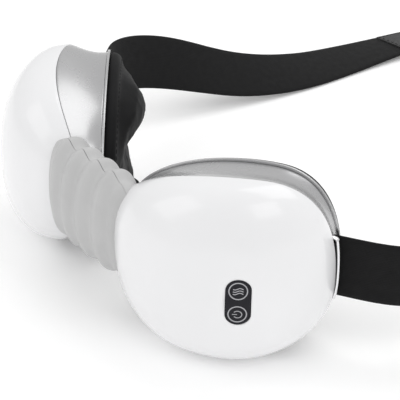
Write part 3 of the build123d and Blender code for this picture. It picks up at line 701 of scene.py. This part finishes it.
def spline_through(points, samples):
    """Smooth curve through the points, sampled evenly along its length, with the length."""
    points = np.asarray(points, float)
    knots = np.concatenate(([0.0], np.cumsum(np.linalg.norm(np.diff(points, axis=0), axis=1))))
    count, gaps = len(points), np.diff(knots)
    matrix, rhs = np.eye(count), np.zeros_like(points)
    for i in range(1, count - 1):
        matrix[i, i - 1:i + 2] = gaps[i - 1], 2 * (gaps[i - 1] + gaps[i]), gaps[i]
        rhs[i] = 6 * ((points[i + 1] - points[i]) / gaps[i] - (points[i] - points[i - 1]) / gaps[i - 1])
    bend = np.linalg.solve(matrix, rhs)
    fine = np.linspace(0, knots[-1], 2000)
    k = np.clip(np.searchsorted(knots, fine, side="right") - 1, 0, count - 2)
    a, b, h = (knots[k + 1] - fine)[:, None], (fine - knots[k])[:, None], gaps[k][:, None]
    curve = (bend[k] * a ** 3 + bend[k + 1] * b ** 3) / (6 * h)
    curve += (points[k] / h - bend[k] * h / 6) * a + (points[k + 1] / h - bend[k + 1] * h / 6) * b
    travelled = np.concatenate(([0.0], np.cumsum(np.linalg.norm(np.diff(curve, axis=0), axis=1))))
    even = np.linspace(0, travelled[-1], samples)
    return np.stack([np.interp(even, travelled, curve[:, i]) for i in range(3)], -1), travelled[-1]


def strap_route(side, first=0.0, last=1.0, samples=140):
    """Middle line of a strap half with its width and face directions."""
    root = place(HALF_WIDTH - 4.4, SLOT_V, STRAP_W)
    mouth = place(HALF_WIDTH + 2.0, SLOT_V, STRAP_W)
    run = LEFT_RUN if side == LEFT else RIGHT_RUN
    route = [root, mouth] + [(mouth[0] + x, mouth[1] + y, z) for x, y, z, _ in run]
    leans = [0.0, 0.0] + [lean for *_, lean in run]
    line, length = spline_through(np.array(route) * (side, 1, 1), 1200)
    shares = np.linspace(first, last, samples)
    whole = np.linspace(0, 1, len(line))
    middle = np.stack([np.interp(shares, whole, line[:, i]) for i in range(3)], -1)
    along = np.gradient(middle, axis=0)
    along /= np.linalg.norm(along, axis=1)[:, None]
    lean = np.radians(np.interp(shares * (len(leans) - 1), range(len(leans)), leans))[:, None]
    inward = np.stack((along[:, 1], -along[:, 0], np.zeros(samples)), -1) * -side
    inward /= np.linalg.norm(inward, axis=1)[:, None]
    rise = np.cross(inward, along) * side
    rise /= np.linalg.norm(rise, axis=1)[:, None]
    edge = rise * np.cos(lean) + inward * np.sin(lean)
    face = np.cross(along, edge)
    return middle, edge, face, length * (last - first)


def make_ribbon(name, side, material, width, thickness, lift=0.0, first=0.0, last=1.0):
    """Flat woven band along a strap's route, with soft edges and its own map in metres."""
    middle, edge, face, length = strap_route(side, first, last)
    half, soft = width / 2, thickness / 2
    corner, rise = half - 0.25 * soft, 0.6
    section = [(x, 1.0) for x in np.linspace(-half + soft, half - soft, 15)]
    section += [(corner, rise), (half, 0.0), (corner, -rise)]
    section += [(x, -1.0) for x in np.linspace(half - soft, -half + soft, 15)]
    section += [(-corner, -rise), (-half, 0.0), (-corner, rise)]
    rows, count = len(middle), len(section)
    across = np.array([x for x, _ in section])
    through = np.array([y for _, y in section]) * soft + lift * side
    points = middle[:, None] + edge[:, None] * across[None, :, None]
    points = points + face[:, None] * through[None, :, None]
    faces = grid_faces(rows, count) + end_caps(rows, count)
    piece = new_piece(name, points.reshape(-1, 3), faces, material)
    layer = piece.data.uv_layers.new(name="weave")
    for loop in piece.data.loops:
        row, column = divmod(loop.vertex_index, count)
        layer.data[loop.index].uv = (across[column] * MM, row / (rows - 1) * length * MM)
    return piece, length


# ---- stitches ----


def stitch_tree():
    """Node tree that lays stitches along a line."""
    tree = bpy.data.node_groups.new("Stitch Row", "GeometryNodeTree")
    tree.interface.new_socket("Geometry", in_out="INPUT", socket_type="NodeSocketGeometry")
    for label, value in (("Spacing", 0.003), ("Stitch Length", 0.002), ("Thread", 0.0003)):
        socket = tree.interface.new_socket(label, in_out="INPUT", socket_type="NodeSocketFloat")
        socket.default_value = value
    tree.interface.new_socket("Material", in_out="INPUT", socket_type="NodeSocketMaterial")
    tree.interface.new_socket("Geometry", in_out="OUTPUT", socket_type="NodeSocketGeometry")
    add, link = tree.nodes.new, tree.links.new
    source, result = add("NodeGroupInput"), add("NodeGroupOutput")
    curve, points = add("GeometryNodeMeshToCurve"), add("GeometryNodeCurveToPoints")
    points.mode = "LENGTH"
    thread = add("GeometryNodeMeshUVSphere")
    thread.inputs["Segments"].default_value, thread.inputs["Rings"].default_value = 6, 5
    thread.inputs["Radius"].default_value = 1.0
    turn = add("FunctionNodeAlignRotationToVector")
    turn.axis = "Z"
    half, size = add("ShaderNodeMath"), add("ShaderNodeCombineXYZ")
    half.operation = "MULTIPLY"
    half.inputs[1].default_value = 0.5
    instances, realized = add("GeometryNodeInstanceOnPoints"), add("GeometryNodeRealizeInstances")
    finish, smooth = add("GeometryNodeSetMaterial"), add("GeometryNodeSetShadeSmooth")
    link(source.outputs["Geometry"], curve.inputs["Mesh"])
    link(curve.outputs["Curve"], points.inputs["Curve"])
    link(source.outputs["Spacing"], points.inputs["Length"])
    link(points.outputs["Tangent"], turn.inputs["Vector"])
    link(source.outputs["Stitch Length"], half.inputs[0])
    link(source.outputs["Thread"], size.inputs["X"])
    link(source.outputs["Thread"], size.inputs["Y"])
    link(half.outputs["Value"], size.inputs["Z"])
    link(points.outputs["Points"], instances.inputs["Points"])
    link(thread.outputs["Mesh"], instances.inputs["Instance"])
    link(turn.outputs["Rotation"], instances.inputs["Rotation"])
    link(size.outputs["Vector"], instances.inputs["Scale"])
    link(instances.outputs["Instances"], realized.inputs["Geometry"])
    link(realized.outputs["Geometry"], smooth.inputs["Geometry"])
    link(smooth.outputs["Geometry"], finish.inputs["Geometry"])
    link(source.outputs["Material"], finish.inputs["Material"])
    link(finish.outputs["Geometry"], result.inputs["Geometry"])
    return tree


def stitch_lines(name, lines, material, sizes):
    """Stitches along lines of points in millimetres, as one plain mesh."""
    tree = bpy.data.node_groups.get("Stitch Row") or stitch_tree()
    points, edges = [], []
    for line, closed in lines:
        first = len(points)
        points += [tuple(p * MM) for p in np.asarray(line)]
        last = len(points) - 1
        edges += [(i, i + 1) for i in range(first, last)] + ([(last, first)] if closed else [])
    mesh = bpy.data.meshes.new(name)
    mesh.from_pydata(points, edges, [])
    piece = bpy.data.objects.new(name, mesh)
    bpy.context.scene.collection.objects.link(piece)
    rows = piece.modifiers.new("stitches", "NODES")
    rows.node_group = tree
    values = {
        "Spacing": sizes.stitch_spacing, "Stitch Length": sizes.stitch_length,
        "Thread": sizes.thread, "Material": material,
    }
    for item in tree.interface.items_tree:
        if item.in_out == "INPUT" and item.name in values:
            rows[item.identifier] = values[item.name]
    return apply_modifiers(piece)


# ---- panel icons ----


def panel_point(along, up, lift):
    """Point over the panel: along is outward, up is up, both from the panel's centre."""
    return dome_point(np.asarray(PANEL_U + along, float), np.asarray(PANEL_V + up, float), lift)


def icon_stroke(line, width, closed=False):
    """Flat ribbon that follows a line on the panel, as points and faces."""
    line = np.asarray(line, float)
    ahead, behind = (np.roll(line, -1, 0), np.roll(line, 1, 0)) if closed else (None, None)
    tangent = ahead - behind if closed else np.gradient(line, axis=0)
    tangent /= np.linalg.norm(tangent, axis=1)[:, None]
    normal = np.stack((-tangent[:, 1], tangent[:, 0]), -1) * width / 2
    low, high = 0.0, 0.06
    corners = [(line + normal, low), (line + normal, high), (line - normal, high), (line - normal, low)]
    points = np.stack([panel_point(p[:, 0], p[:, 1], lift) for p, lift in corners], 1)
    count = len(line)
    faces = []
    for i in range(count if closed else count - 1):
        j = (i + 1) % count
        faces += [(4 * i + k, 4 * i + (k + 1) % 4, 4 * j + (k + 1) % 4, 4 * j + k) for k in range(4)]
    if not closed:
        faces += [(0, 1, 2, 3), tuple(4 * (count - 1) + k for k in (3, 2, 1, 0))]
    return points.reshape(-1, 3), faces


def make_icon(name, strokes):
    points, faces = [], []
    for stroke_points, stroke_faces in strokes:
        faces += [tuple(i + len(points) for i in face) for face in stroke_faces]
        points += [tuple(p) for p in stroke_points]
    return new_piece(name, points, faces, finishes["button_ring"], smooth=False)


def wave_strokes(size):
    """Three heat waves one over another."""
    row_pitch, swing, lead, stroke = 0.95, 0.32, 0.15, 0.32
    t = np.linspace(-1, 1, 25)
    wave = BUTTON_PITCH / 2 + swing * np.sin((t + lead) * math.pi)
    return [icon_stroke(np.stack((t * size, wave + row * row_pitch), -1), stroke) for row in (-1, 0, 1)]


def power_strokes(size):
    """Open ring with a bar through its gap, lying towards the nose."""
    opening, stroke = math.radians(38), 0.3
    angle = np.linspace(math.pi + opening, 3 * math.pi - opening, 40)
    centre = -BUTTON_PITCH / 2
    ring = np.stack((size * np.cos(angle), centre + size * np.sin(angle)), -1)
    bar = np.stack((np.linspace(-size * 1.25, -size * 0.1, 8), np.full(8, centre)), -1)
    return [icon_stroke(ring, stroke), icon_stroke(bar, stroke)]


# ---- sizes and colours that can be changed ----


def color_property(label, note, default):
    return FloatVectorProperty(
        name=label, description=note, default=default, size=3, min=0, max=1, subtype="COLOR",
    )


def millimetres(label, note, default, least, most):
    note += ", in millimetres"
    return FloatProperty(name=label, description=note, default=default, min=least, max=most)


def metres(label, note, default):
    return FloatProperty(name=label, description=note, default=default, unit="LENGTH")


class MaskFinish(bpy.types.PropertyGroup):
    cover: color_property("Cover", "Colour of the glossy covers", (0.86, 0.86, 0.87))
    band: color_property("Band", "Colour of the silver bands", (0.5, 0.5, 0.505))
    ring: color_property("Ring", "Colour of the button rings and icons", (0.42, 0.42, 0.44))
    bridge: color_property("Bridge", "Colour of the silicone bridge", (0.52, 0.52, 0.52))
    pad: color_property("Pad", "Colour of the face pads", (0.006, 0.006, 0.0065))
    strap: color_property("Strap", "Colour of the strap", (0.008, 0.008, 0.0085))
    panel: color_property("Panel", "Colour of the control panel", (0.011, 0.011, 0.015))


class MaskSizes(bpy.types.PropertyGroup):
    segments: IntProperty(name="Segments", description="Points round a pod", default=192, min=48, max=384)
    waist: millimetres("Waist", "How far the band draws in", 0.95, 0, 3)
    brow: millimetres("Brow", "Height of the brow mound", 9.2, 2, 14)
    cheek: millimetres("Cheek", "Height of the cheek mound", 4.6, 1, 9)
    ribs: IntProperty(name="Ribs", description="Ribs of the bridge", default=4, min=2, max=8)
    pitch: millimetres("Pitch", "Distance from rib to rib", 10.8, 4, 20)
    rise: millimetres("Rise", "Height of a rib", 1.05, 0.2, 2)
    strap_width: millimetres("Strap Width", "Width of the strap", 25, 10, 60)
    strap_thickness: millimetres("Strap Thickness", "Thickness of the strap", 1.6, 0.5, 4)
    stitch_spacing: metres("Stitch Spacing", "Distance from stitch to stitch", 0.0028)
    stitch_length: metres("Stitch Length", "Length of a stitch", 0.002)
    thread: metres("Thread", "Half the thread's thickness", 0.00022)


# ---- operators ----


class MASK_OT_finishes(bpy.types.Operator):
    """Makes the finishes and gives each frame node its own"""
    bl_idname, bl_label = "mask.finishes", "Finishes"

    def execute(self, context):
        finishes.update(make_finishes())
        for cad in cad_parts.values():
            for index, material in enumerate(cad.data.materials):
                cad.data.materials[index] = finishes[material.name.split(".")[0]]
        return {"FINISHED"}


class MASK_OT_covers(bpy.types.Operator):
    """Makes the two domed front covers"""
    bl_idname, bl_label = "mask.covers", "Covers"

    def execute(self, context):
        for label, side in SIDES:
            piece = make_cover(label + "_cover", side, context.scene.mask_sizes.segments)
            settle(piece, label + "_pod", [label + "_front_cover"])
        return {"FINISHED"}


class MASK_OT_bands(bpy.types.Operator):
    """Makes the silver side bands, the rear frames and the strap bars"""
    bl_idname, bl_label = "mask.bands", "Bands, Frames and Bars"

    def execute(self, context):
        sizes = context.scene.mask_sizes
        for label, side in SIDES:
            band = make_band(label + "_band", side, sizes.segments, sizes.waist)
            settle(band, label + "_pod", [label + "_side_band"])
            ring = make_rear_frame(label + "_frame_ring", side, sizes.segments)
            settle(ring, label + "_pod", [label + "_rear_frame"])
            bar = make_bar(label + "_bar", side)
            settle(bar, label + "_pod", [label + "_strap_bar"])
        return {"FINISHED"}


class MASK_OT_pads(bpy.types.Operator):
    """Makes the stuffed face pads and their seams"""
    bl_idname, bl_label = "mask.pads", "Face Pads"

    def execute(self, context):
        sizes = context.scene.mask_sizes
        for label, side in SIDES:
            pad = make_pad(label + "_pad", side, sizes.segments, sizes)
            settle(pad, label + "_pod", [label + "_face_pad"])
            angles = np.arange(sizes.segments) * math.tau / sizes.segments
            line = place(*outline(angles, SEAM_INSET, PAD_DROP), PAD_FRONT + SEAM_LIFT, side)
            seam = stitch_lines(label + "_pad_seam", [(line, True)], finishes["pad_cover"], sizes)
            settle(seam, label + "_pod", [])
        return {"FINISHED"}


class MASK_OT_bridge(bpy.types.Operator):
    """Makes the ribbed silicone bridge, the lining behind it and the leads through it"""
    bl_idname, bl_label = "mask.bridge", "Bridge"

    def execute(self, context):
        sizes = context.scene.mask_sizes
        reach = sizes.pitch * sizes.ribs / 2 * MM
        front = make_bridge_shell("bridge_front", True, sizes)
        rear = make_bridge_shell("bridge_rear", False, sizes)
        lining = make_web("nose_lining")
        leads = make_lead("bridge_leads", LEAD_LEVEL, LEAD_RADIUS, finishes["wire_red"])
        tube = make_lead("bridge_tube", TUBE_LEVEL, TUBE_RADIUS, finishes["tube_clear"])
        pieces = [
            (front, "bridge_silicone", "bridge_front_shell", reach),
            (rear, "bridge_silicone", "bridge_rear_shell", reach),
            (lining, "pad_cover", "nose_web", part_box("nose_web")[1].x),
            (leads, "wire_red", "bridge_wires", reach),
            (tube, "tube_clear", "bridge_air_tube", reach),
        ]
        for piece, slot, replaced, half in pieces:
            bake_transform(piece)
            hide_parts(replaced)
        return {"FINISHED"}


class MASK_OT_straps(bpy.types.Operator):
    """Makes the two strap halves, their tapes and their stitching"""
    bl_idname, bl_label = "mask.straps", "Straps"

    def execute(self, context):
        sizes = context.scene.mask_sizes
        width, thickness = sizes.strap_width, sizes.strap_thickness
        for label, side in SIDES:
            tape, first, tape_node = STRAP_TAPES[side]
            strap, length = make_ribbon(label + "_webbing", side, finishes["strap_webbing"], width, thickness)
            lift = (thickness + TAPE_THICKNESS) / 2
            patch, _ = make_ribbon(
                label + "_tape", side, finishes[tape], TAPE_WIDTH, TAPE_THICKNESS, lift, first, TAPE_END,
            )
            stitches = self.stitches(label, side, sizes, first)
            self.hold(side, strap, "strap_webbing", [label + "_strap"])
            self.hold(side, patch, tape, [tape_node])
            self.hold(side, stitches, "strap_webbing", [])
        return {"FINISHED"}

    def hold(self, side, piece, slot, replaced):
        """Right pieces ride on their pod, and left ones stay where they were built, with their transform
        baked in.
        """
        if side == RIGHT:
            settle(piece, "right_pod", replaced)
            return
        near = strap_route(side)[0]
        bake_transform(piece)
        if replaced:
            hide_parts(*replaced)

    def stitches(self, label, side, sizes, first):
        """Rows of stitches round the tape."""
        clear, reach, above = 0.004, 9.6, 0.08
        middle, edge, face, _ = strap_route(side, first + clear, TAPE_END - clear, 90)
        tape_face = face * side * (sizes.strap_thickness / 2 + TAPE_THICKNESS + above)
        lines = [(middle + edge * offset + tape_face, False) for offset in (-reach, reach)]
        across = np.linspace(-reach, reach, 14)[:, None]
        lines += [(middle[row] + edge[row] * across + tape_face[row], False) for row in (0, -1)]
        return stitch_lines(label + "_strap_stitches", lines, finishes["strap_webbing"], sizes)


class MASK_OT_icons(bpy.types.Operator):
    """Makes the icons on the two buttons"""
    bl_idname, bl_label = "mask.icons", "Button Icons"

    def execute(self, context):
        settle(make_icon("heat_icon", wave_strokes(1.75)), "mode_button", [])
        settle(make_icon("power_icon", power_strokes(1.45)), "power_button", [])
        return {"FINISHED"}


class MASK_OT_stage(bpy.types.Operator):
    """Makes the floor, the lights and the camera"""
    bl_idname, bl_label = "mask.stage", "Stage"

    def execute(self, context):
        scene = context.scene
        self.floor()
        self.world(scene)
        low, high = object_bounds()
        centre = Vector(((low.x + high.x) / 2, 0.02, 0.03))
        self.softbox("key_light", (-0.1, 0.6, 1.05), centre, 0.9, 3.2)
        self.softbox("fill_light", (0.75, -0.05, 1.0), centre, 0.7, 1.7)
        self.softbox("side_light", (-0.55, -0.75, 0.75), centre, 0.7, 1.3)
        self.camera(scene)
        scene.view_settings.view_transform = "Standard"
        return {"FINISHED"}

    def floor(self):
        mesh = bpy.data.meshes.new("floor")
        half = 30.0
        corners = [(-half, -half, 0), (half, -half, 0), (half, half, 0), (-half, half, 0)]
        mesh.from_pydata(corners, [], [(0, 1, 2, 3)])
        piece = bpy.data.objects.new("floor", mesh)
        bpy.context.scene.collection.objects.link(piece)
        paper, bsdf = shader("floor_paper", (0.93, 0.93, 0.93), 0.9)
        bsdf.inputs["Emission Color"].default_value = (1, 1, 1, 1)
        bsdf.inputs["Emission Strength"].default_value = 0.16
        mesh.materials.append(paper)
        piece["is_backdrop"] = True

    def world(self, scene):
        world = bpy.data.worlds.new("studio")
        world.use_nodes = True
        background = world.node_tree.nodes["Background"]
        background.inputs["Color"].default_value = (1, 1, 1, 1)
        background.inputs["Strength"].default_value = 0.75
        scene.world = world

    def softbox(self, name, position, target, size, power):
        light = bpy.data.lights.new(name, "AREA")
        light.shape, light.size, light.energy = "SQUARE", size, power
        lamp = bpy.data.objects.new(name, light)
        bpy.context.scene.collection.objects.link(lamp)
        lamp.location = position
        lamp.rotation_mode = "QUATERNION"
        lamp.rotation_quaternion = (target - Vector(position)).to_track_quat("-Z", "Y")

    def camera(self, scene):
        lens = bpy.data.cameras.new("camera")
        lens.sensor_width, lens.lens = 36.0, 149.93
        lens.clip_start, lens.clip_end = 0.01, 50.0
        camera = bpy.data.objects.new("camera", lens)
        scene.collection.objects.link(camera)
        position = (0.4870, -0.29788, 0.34098)
        heading, pitch, roll = (math.radians(a) for a in (-54.754, -27.741, 1.863))
        level = math.cos(pitch)
        ahead = Vector((math.sin(heading) * level, math.cos(heading) * level, math.sin(pitch)))
        across = ahead.cross(Vector((0, 0, 1))).normalized()
        upright = across.cross(ahead)
        turned = across * math.cos(roll) + upright * math.sin(roll)
        top = upright * math.cos(roll) - across * math.sin(roll)
        axes = Matrix((turned, top, -ahead)).transposed().to_4x4()
        camera.matrix_world = Matrix.Translation(position) @ axes
        scene.camera = camera


class MASK_PT_panel(bpy.types.Panel):
    """Lists the mask's sizes, colours and pieces"""
    bl_idname, bl_label = "MASK_PT_panel", "Eye Massager Mask"
    bl_space_type, bl_region_type, bl_category = "VIEW_3D", "UI", "Mask"

    def draw(self, context):
        layout = self.layout
        for group in (context.scene.mask_sizes, context.scene.mask_finish):
            for name in group.bl_rna.properties.keys():
                if name not in ("rna_type", "name"):
                    layout.prop(group, name)
        for operator in OPERATORS:
            layout.operator(operator.bl_idname)


OPERATORS = (
    MASK_OT_finishes, MASK_OT_covers, MASK_OT_bands, MASK_OT_pads,
    MASK_OT_bridge, MASK_OT_straps, MASK_OT_icons, MASK_OT_stage,
)
CLASSES = (MaskFinish, MaskSizes, *OPERATORS, MASK_PT_panel)


def register():
    for item in CLASSES:
        bpy.utils.register_class(item)
    bpy.types.Scene.mask_finish = PointerProperty(type=MaskFinish)
    bpy.types.Scene.mask_sizes = PointerProperty(type=MaskSizes)


def unregister():
    del bpy.types.Scene.mask_sizes
    del bpy.types.Scene.mask_finish
    for item in reversed(CLASSES):
        bpy.utils.unregister_class(item)


def main():
    register()
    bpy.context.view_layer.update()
    for operator in ("finishes", "covers", "bands", "pads", "bridge", "straps", "icons", "stage"):
        getattr(bpy.ops.mask, operator)()


if __name__ == "__main__":
    main()
